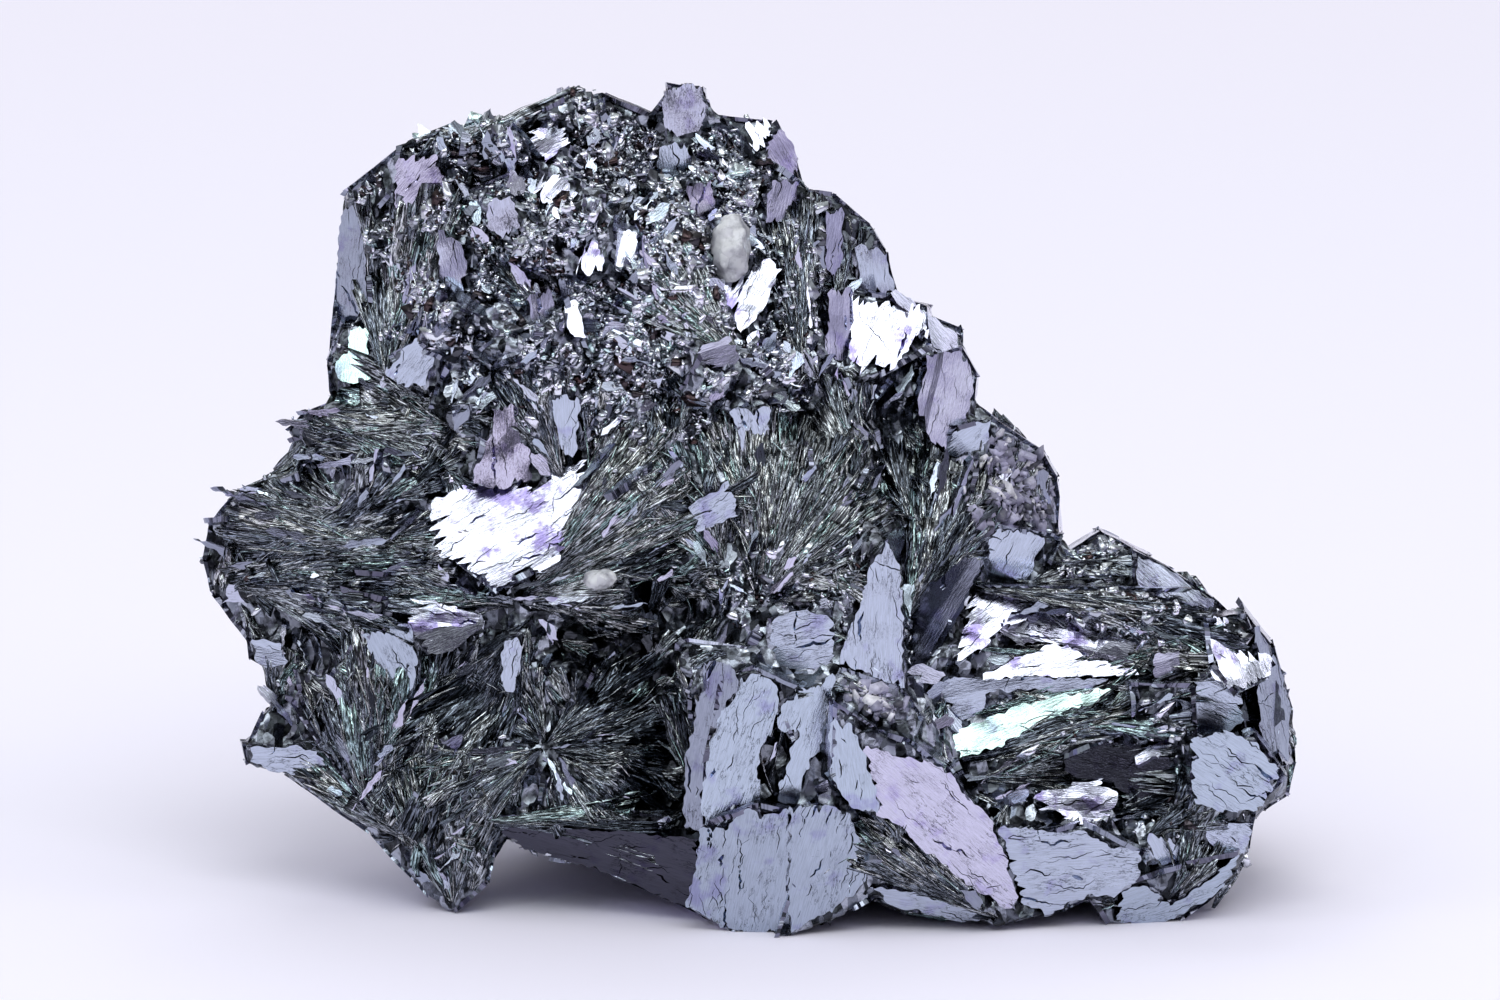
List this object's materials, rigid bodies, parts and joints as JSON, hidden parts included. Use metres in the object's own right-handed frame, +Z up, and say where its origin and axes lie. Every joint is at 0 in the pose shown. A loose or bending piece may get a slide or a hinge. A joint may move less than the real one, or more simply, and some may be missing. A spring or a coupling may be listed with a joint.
{
  "type": "hematite specimen",
  "caption": "Natural lump of metallic grey hematite: mirror-like plates and radiating fibre fans grown together, with small quartz grains, resting on its broken base.",
  "frame": {"origin": "centre of the bounding box's bottom face, on the ground that the specimen rests on", "axes": "+Z up, +X along the specimen's longest side, towards the viewer's right when looking at the display face, -Y out of the display face"},
  "size_m": [0.1096, 0.0636, 0.0791],
  "materials": {
    "hematite": "polished",
    "quartz": "satin"
  },
  "bodies": {
    "root": {"hematite": "hematite", "quartz_grain_upper": "quartz", "quartz_grain_centre": "quartz"}
  },
  "joints": []
}
